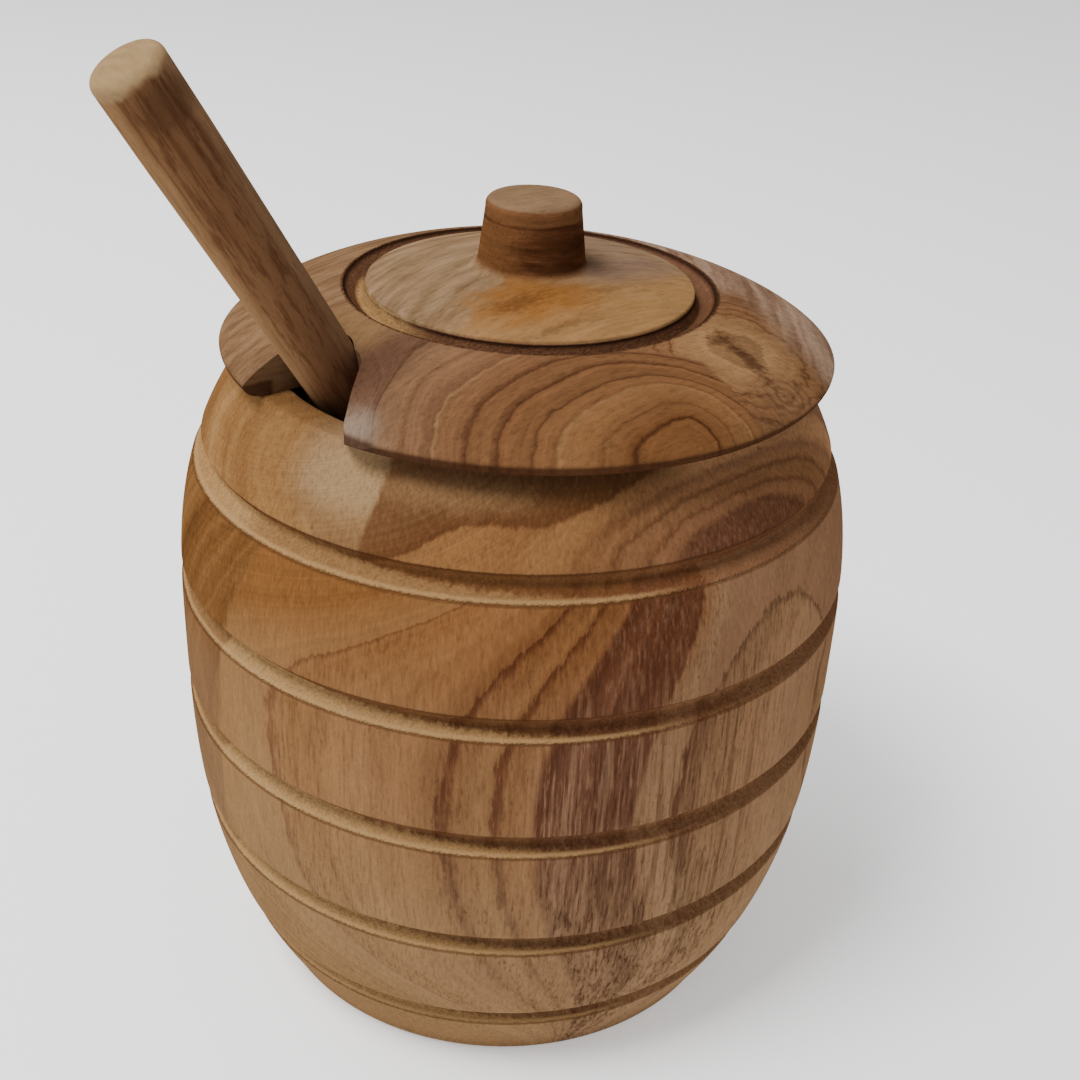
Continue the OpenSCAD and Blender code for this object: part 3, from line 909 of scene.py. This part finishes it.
def lid_wood(colours):
    """Teak lying flat: nested arches in front, a knot beside them, a patchy disc."""
    paint = Paint("Lid teak")
    fade, blend, noise = paint.fade, paint.blend, paint.noise
    x, y, z = paint.axes(paint.spot)
    x0, y0 = x - 0.8, y + 0.6
    radius = (x0 * x0 + y0 * y0) ** 0.5
    ripple = noise((x, y, z * 0.5), 0.26, 2.0) - 0.5
    jag = noise((x * 0.6, y, z * 0.5), 1.4, 3.0, 0.6) - 0.5
    warp = noise((x, y, 40.0), 0.32, 3.0, 0.6) - 0.5
    # arches round a low point at the front edge
    beyond = y * -1 - 9.98
    bend = fade(y, -17, -12)
    w = 36.0 - (beyond + (beyond * beyond + 16.0) ** 0.5) * 0.5 + bend * 1.9
    u = x + 8.60 - bend * 3.5 - w * 0.3474 + w * w * 0.06667 - w ** 3.0 * 0.0011566
    left = fade(u, 0.5, -0.5)
    half = (1.8178 - w * 0.05075) * left + (0.8863 - w * 0.01208) * (1 - left)
    spare = half - 0.3
    half = 0.3 + (spare + (spare * spare + 0.02) ** 0.5) * 0.5
    reach = abs(u) / half
    field = (reach ** 3.2 + abs(w) ** 3.2) ** (1 / 3.2) + ripple * 1.2 + jag * 0.7
    colour = paint.ramp(field, LID_RINGS)
    streak = noise((field, 5.0 + ripple * 2.0, z * 0.02), 2.0, 4.0, 0.68) - 0.5
    # the back and the right: quiet grain across, then slanting streaks
    across = noise((x * 0.05, y + x * 0.12, z * 0.6), 0.55, 4.0, 0.62)
    slant = noise(((x + y) * 0.05, x - y * 0.83 + warp * 3.0, z * 0.6), 0.36, 4.0, 0.65)
    quiet = paint.tones(
        across,
        (0.3, 116, 82, 54), (0.5, 142, 106, 73), (0.7, 160, 124, 88))
    slanting = paint.tones(
        slant,
        (0.3, 120, 87, 64), (0.44, 152, 117, 92), (0.54, 170, 136, 110), (0.7, 186, 155, 128))
    back = fade(y + x * 0.1, -14, -5)
    colour = blend(back, colour, quiet)
    colour = blend(fade(x, 15, 24), colour, slanting)
    colour = knot_wood(paint, colour, colours.knot, x, y, field, ripple, jag, warp)
    # purple-brown wood beside the notch, a whitish painted highlight at its tip, tan by the ring
    # groove
    colour = paint.patches(
        colour, x, y,
        ((-33, -8.5, 7.5, 4.4), 0.7, ripple, 0.8, wood(100, 69, 51)),
        ((-40.6, -15.6, 2.8, 4.6), 0.7, ripple + jag, 0.75, wood(168, 144, 122)),
        ((-29, 1, 3.8, 7), 0.5, 0.0, 0.6, wood(150, 112, 72)))
    # the disc
    disc = fade(radius, 24.35, 24.25)
    colour = blend(disc, colour, disc_wood(paint, colours.disc_patch, x, y, z, ripple, jag))
    # the ring groove: brown and torn, ochre on the disc's left side as painted light, and a black
    # painted shadow beneath the disc's edge
    torn = noise((x, y, z), 1.6, 4.0, 0.7)
    ring = fade(radius, 24.25, 24.35) * fade(radius + (torn - 0.5) * 0.9, 28.1, 27.5)
    # painted light: the groove's inner side toward the left is drawn pale ochre, as if lit
    ochre = fade(x - y * 0.3 + ripple * 4, -19, -25) * fade(radius, 26.0, 25.4)
    ring_tone = blend(ochre, wood(124, 82, 56), wood(196, 150, 92))
    colour = blend(ring * 0.9, colour, paint.scale(ring_tone, 0.5 + torn * 0.9))
    # painted shadow: a black line on the groove wall just beneath the disc's edge
    painted_gap_shadow = ring * paint.ring_line(z + (torn - 0.5) * 0.3, 114.9, 0.6, 0.5)
    colour = blend(painted_gap_shadow * (0.9 - ochre * 0.6), colour, wood(44, 24, 14))
    knob = fade(radius, 9.0, 8.2)
    colour = blend(knob * fade(z, 117.9, 119.3), colour,
                   knob_wood(paint, colours.knob_top, x, y, z, ripple))
    # painted shade: the underside near the lid's edge is darkened
    underside_shade = fade(z, 107.6, 106.9) * fade(radius, 40.5, 41.5)
    colour = blend(underside_shade * 0.85, colour, wood(76, 45, 28))
    # fibres and pores, along x
    fibre = noise((x * 0.12, y, z), 1.6, 3.0, 0.62) - 0.5
    pores = noise((x * 0.3, y, z), 2.6, 2.0, 0.55)
    cloud = noise((x, y, z), 0.12, 3.0) - 0.5
    front = (1 - back) * (1 - disc)
    shade = 1 + streak * front * 0.9 + fibre * 0.6 - fade(pores, 0.42, 0.32) * 0.18 \
        + cloud * 0.45 + jag * 0.2
    colour = paint.scale(colour, shade)
    relief = pores * 0.7 + fibre * 0.5 + ring * torn * 5.0 + streak * front * 0.9
    rough = 0.5 + fibre * 0.2 + ring * 0.2 - back * 0.06
    return paint.finish(colour, rough, relief, RELIEF)


def dipper_wood(shaft, colours):
    """Teak along the handle, dark and streaky down the front, with a cream end."""
    paint = Paint("Dipper teak")
    fade, blend, noise = paint.fade, paint.blend, paint.noise
    turned = paint.node("ShaderNodeMapping", {"vector_type": "TEXTURE"}, {
        "Vector": paint.spot, "Location": (shaft.tip_x / MM, 0, shaft.tip_z / MM),
        "Rotation": (0, -shaft.lean, 0)})
    x, y, t = paint.axes(turned)
    ripple = noise((x, y, t * 0.25), 0.5, 2.0) - 0.5
    round_it = degrees_round(paint, x, y, -105, (0, 0)) + ripple * 40
    bands = noise((x, y, t * 0.035), 0.75, 3.0, 0.6)
    fibre = noise((x, y, t * 0.06), 1.9, 3.0, 0.6) - 0.5
    pores = noise((x, y, t * 0.2), 2.8, 2.0, 0.55)
    blotch = noise((x, y, t * 0.16), 0.8, 4.0, 0.65)
    # tones round the handle: paler towards both sides, partly the wood and partly a painted sheen;
    # darker down the front
    side = paint.tones(
        round_it,
        (-180, 126, 88, 54), (-130, 142, 102, 64), (-85, 168, 128, 86), (-55, 160, 120, 80),
        (-34, 140, 99, 64), (0, 130, 90, 58), (32, 136, 95, 64), (52, 154, 114, 80),
        (85, 158, 120, 86), (130, 134, 96, 62), (180, 126, 88, 54))
    colour = paint.scale(side, 0.82 + bands * 0.36)
    middle = fade(abs(round_it + 4), 66, 30)
    streaks = fade(bands + fibre * 0.3, 0.47, 0.38) * (0.2 + middle * 0.8)
    colour = blend(streaks * 0.45, colour, colours.handle_streak)
    colour = blend(fade(blotch + fibre * 0.4, 0.52, 0.62) * middle * 0.5, colour, wood(80, 43, 25))
    low = fade(t, 128, 100)
    colour = blend(low * middle * 0.5, colour, wood(98, 52, 29))
    shade = 1 + fibre * 0.45 - fade(pores, 0.42, 0.32) * 0.2
    colour = paint.scale(colour, shade)
    smudge = paint.patch(round_it, t, 22, 157.0, 46, 2.8, 0.7, wobble=ripple)
    colour = blend(smudge * 0.55, colour, wood(84, 54, 34))
    ragged = noise((x, y, t * 0.6), 0.22, 2.0) - 0.5
    cap = fade(t + ragged * 3.4 + (blotch - 0.5) * 1.4, 159.9, 161.1)
    grain = noise((x, y * 0.4, t), 0.9, 3.0) - 0.5
    colour = blend(cap, colour, paint.scale(colours.handle_end, 1 + grain * 0.6))
    relief = pores * 0.8 + fibre * 0.5
    rough = 0.52 + fibre * 0.2
    return paint.finish(colour, rough, relief, RELIEF * 6 / 7)


# ---------------------------------------------------------------- operators

class HONEY_OT_pot(bpy.types.Operator):
    """Turn the barrel-shaped pot with its grooves and its well"""
    bl_idname = "honey.pot"
    bl_label = "Turn the pot"

    def execute(self, context):
        sizes = context.scene.honey_pot
        pot = turn("pot_barrel", pot_profile(sizes),
                   body_wood(context.scene.honey_colours), 360, 0.08 * MM, 0.22 * MM, 3)
        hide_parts("pot")
        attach(pot, "pot")
        return {"FINISHED"}


def notch_outline(sizes):
    """Plan of the notch: round inside, flared near side, rounded over into the lid's edge."""
    corner = Vector((-sizes.notch_in - sizes.notch_r, -2.2 * MM))
    flare, tip_round, far_x = sizes.notch_flare, 5 * MM, -sizes.lid_d / 2 - 6 * MM
    bend = arc(corner, sizes.notch_r, 0, math.degrees(flare) - 90, 14)
    run_out = Vector((-math.cos(flare), -math.sin(flare)))
    base = Vector(bend[-1]) + tip_round * Vector((math.sin(flare), -math.cos(flare)))
    back = base.dot(run_out)
    ahead = math.sqrt(back * back - base.dot(base) + (sizes.lid_d / 2 - tip_round) ** 2) - back
    tip = base + run_out * ahead
    end = math.degrees(math.atan2(tip.y, tip.x)) + 360
    rounding = arc(tip, tip_round, 90 + math.degrees(flare), end, 14)
    outer = tip.normalized() * (sizes.lid_d / 2 + 4 * MM)
    return ([(far_x, MM), (-sizes.notch_in, MM)] + bend + rounding
            + [tuple(outer), (far_x, outer.y)])


class HONEY_OT_lid(bpy.types.Operator):
    """Turn the lid with its knob and cut the notch for the dipper"""
    bl_idname = "honey.lid"
    bl_label = "Turn the lid"

    def execute(self, context):
        sizes, pot = context.scene.honey_lid, context.scene.honey_pot
        shaft = Shaft(pot, context.scene.honey_dipper)
        blank = turn("lid_blank", lid_profile(sizes, pot.mouth_d / 2),
                     lid_wood(context.scene.honey_colours), 256, 0.05 * MM, 0.0, 5)
        seat = Matrix.Translation((sizes.shift[0], sizes.shift[1], pot.height + REST_GAP))
        blank.data.transform(seat)
        outline = notch_outline(sizes)
        notch = prism("notch_cutter", outline, -8 * MM, 16 * MM, seat)
        slot_r = shaft.handle_r + SLOT_GAP
        slot_outline = arc((0, 0), slot_r, 90, -90, 32) + [(-40 * MM, -slot_r), (-40 * MM, slot_r)]
        leaning = (Matrix.Translation((shaft.axis_x, 0, pot.height))
                   @ Matrix.Rotation(-shaft.lean, 4, "Y"))
        slot = prism("slot_cutter", slot_outline, -30 * MM, 30 * MM, leaning)
        for cutter in (notch, slot):
            cut = blank.modifiers.new("Cut", "BOOLEAN")
            cut.operation, cut.solver, cut.object = "DIFFERENCE", "EXACT", cutter
        lid = frozen(blank, "lid_turned")
        blank.modifiers.clear()
        for spent in (blank, notch, slot):
            bpy.data.objects.remove(spent)
        lid.data.materials.clear()
        lid.data.materials.append(bpy.data.materials["Lid teak"])
        lid.data.polygons.foreach_set("material_index", [0] * len(lid.data.polygons))
        tidy(lid.data, 1e-5)
        soften_rim(lid.data, seat, outline)
        for edge in sharp_edges(lid.data, 35):
            edge.use_edge_sharp = True
        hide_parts("lid")
        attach(lid, "lid")
        return {"FINISHED"}


def soften_rim(mesh, seat, outline):
    """Lowers the lid's top a little toward the notch, like an edge worn by hands."""
    reach, rim, tip_reach = 3.6 * MM, 1.0 * MM, 9 * MM
    away = seat.inverted()
    path = [Vector(point) for point in outline[1:-2]]
    for vert in mesh.vertices:
        spot = away @ vert.co
        if spot.z < rim:
            continue
        plan = spot.to_2d()
        near = min((plan - closest(plan, a, b)).length for a, b in zip(path, path[1:]))
        if near < reach:
            at_tip = max(0.0, 1 - (plan - path[-1]).length / tip_reach)
            vert.co.z -= (spot.z - rim) * (0.14 + 0.6 * at_tip) * (1 - near / reach) ** 2


def closest(point, start, end):
    """Nearest spot to a point on a straight piece."""
    side = end - start
    if side.length_squared == 0:
        return start
    return start + side * max(0.0, min(1.0, (point - start).dot(side) / side.length_squared))


def sharp_edges(mesh, limit):
    """Edges where two faces meet at more than the limit in degrees."""
    faces_of = {}
    for face in mesh.polygons:
        for key in face.edge_keys:
            faces_of.setdefault(key, []).append(face.normal)
    bound = math.cos(math.radians(limit))
    return [edge for edge in mesh.edges
            if len(faces_of.get(edge.key, ())) == 2
            and faces_of[edge.key][0].dot(faces_of[edge.key][1]) < bound]


class HONEY_OT_dipper(bpy.types.Operator):
    """Turn the dipper and stand it in the pot, leaning in the notch"""
    bl_idname = "honey.dipper"
    bl_label = "Turn the dipper"

    def execute(self, context):
        sizes = context.scene.honey_dipper
        shaft = Shaft(context.scene.honey_pot, sizes)
        dipper = turn("dipper_turned", dipper_profile(shaft, sizes.ridge_count),
                      dipper_wood(shaft, context.scene.honey_colours), 96, 0.05 * MM, 0.0, 11)
        dipper.data.transform(shaft.matrix)
        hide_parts("dipper")
        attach(dipper, "dipper")
        return {"FINISHED"}


# Lights: name, place, aimed at, width in metres, power in watts
LAMPS = (("key light", (-0.5, 0.02, 1.0), (0, 0, 0.08), 0.4, 15.0),
         ("back light", (-0.25, 0.75, 0.7), (0, 0, 0.1), 0.6, 4.0))
ROOM_LIGHT = 0.6
FLOOR_REACH = 3.0
FLOOR_GLOW = 0.4
# Camera: place in metres, then its tilt, pan and roll and the turn round the pot in degrees
CAMERA_PLACE = (-0.13485, -0.16358, 0.1895)
CAMERA_ANGLES = (29.02, 1.17, 2.94, -39.5)


class HONEY_OT_stage(bpy.types.Operator):
    """Set the pale floor, the soft light and the camera"""
    bl_idname = "honey.stage"
    bl_label = "Set the stage"

    def execute(self, context):
        scene = context.scene
        mesh = bpy.data.meshes.new("floor")
        corners = ((-1, -1), (1, -1), (1, 1), (-1, 1))
        mesh.from_pydata([(x * FLOOR_REACH, y * FLOOR_REACH, 0) for x, y in corners],
                         [], [(0, 1, 2, 3)])
        floor = bpy.data.objects.new("floor", mesh)
        scene.collection.objects.link(floor)
        paint = bpy.data.materials.new("Pale floor")
        paint.use_nodes = True
        shader = paint.node_tree.nodes["Principled BSDF"]
        shader.inputs["Base Color"].default_value = (0.9, 0.9, 0.9, 1)
        shader.inputs["Roughness"].default_value = 0.9
        shader.inputs["Emission Color"].default_value = (1, 1, 1, 1)
        shader.inputs["Emission Strength"].default_value = FLOOR_GLOW
        mesh.materials.append(paint)
        world = bpy.data.worlds.new("Soft room")
        world.use_nodes = True
        sky = world.node_tree.nodes["Background"]
        sky.inputs["Color"].default_value = (1, 1, 1, 1)
        sky.inputs["Strength"].default_value = ROOM_LIGHT
        scene.world = world
        for name, place, aim, size, power in LAMPS:
            lamp = bpy.data.lights.new(name, "AREA")
            lamp.size, lamp.energy = size, power
            holder = bpy.data.objects.new(name, lamp)
            holder.location = place
            aim_at = Vector(aim) - Vector(place)
            holder.rotation_euler = aim_at.to_track_quat("-Z", "Y").to_euler()
            scene.collection.objects.link(holder)
        lens = bpy.data.cameras.new("camera")
        lens.lens, lens.sensor_width, lens.clip_start = 50.0, 36.0, 0.01
        camera = bpy.data.objects.new("camera", lens)
        tilt, pan, roll, turn_by = (math.radians(v) for v in CAMERA_ANGLES)
        level = math.cos(tilt)
        ahead = Vector((math.sin(pan) * level, math.cos(pan) * level, -math.sin(tilt)))
        right = Vector((math.cos(pan), -math.sin(pan), 0))
        above = right.cross(ahead)
        right, above = (math.cos(roll) * right + math.sin(roll) * above,
                        math.cos(roll) * above - math.sin(roll) * right)
        spin = Matrix.Rotation(turn_by, 3, "Z")
        columns = Matrix((spin @ right, spin @ above, spin @ -ahead)).transposed()
        camera.matrix_world = Matrix.Translation(CAMERA_PLACE) @ columns.to_4x4()
        scene.collection.objects.link(camera)
        scene.camera = camera
        return {"FINISHED"}


class HONEY_PT_panel(bpy.types.Panel):
    """Shows the sizes and colours of the honey pot, and lists the steps that build it"""
    bl_label = "Honey pot"
    bl_idname = "HONEY_PT_panel"
    bl_space_type = "VIEW_3D"
    bl_region_type = "UI"
    bl_category = "Honey pot"

    def draw(self, context):
        for name, group in GROUPS.items():
            box = self.layout.box()
            box.label(text=group.__doc__)
            for key in group.__annotations__:
                box.prop(getattr(context.scene, name), key)
        for operator in OPERATORS:
            self.layout.operator(operator.bl_idname)


GROUPS = {"honey_pot": HoneyPotSizes, "honey_lid": HoneyLidSizes,
          "honey_dipper": HoneyDipperSizes, "honey_colours": HoneyColours}
OPERATORS = (HONEY_OT_stage, HONEY_OT_pot, HONEY_OT_lid, HONEY_OT_dipper)


def register():
    for group in (*GROUPS.values(), *OPERATORS, HONEY_PT_panel):
        bpy.utils.register_class(group)
    for name, group in GROUPS.items():
        setattr(bpy.types.Scene, name, PointerProperty(type=group))


def unregister():
    for name in GROUPS:
        delattr(bpy.types.Scene, name)
    for group in reversed((*GROUPS.values(), *OPERATORS, HONEY_PT_panel)):
        bpy.utils.unregister_class(group)


def main():
    register()
    bpy.ops.honey.stage()
    bpy.ops.honey.pot()
    bpy.ops.honey.lid()
    bpy.ops.honey.dipper()


if __name__ == "__main__":
    main()
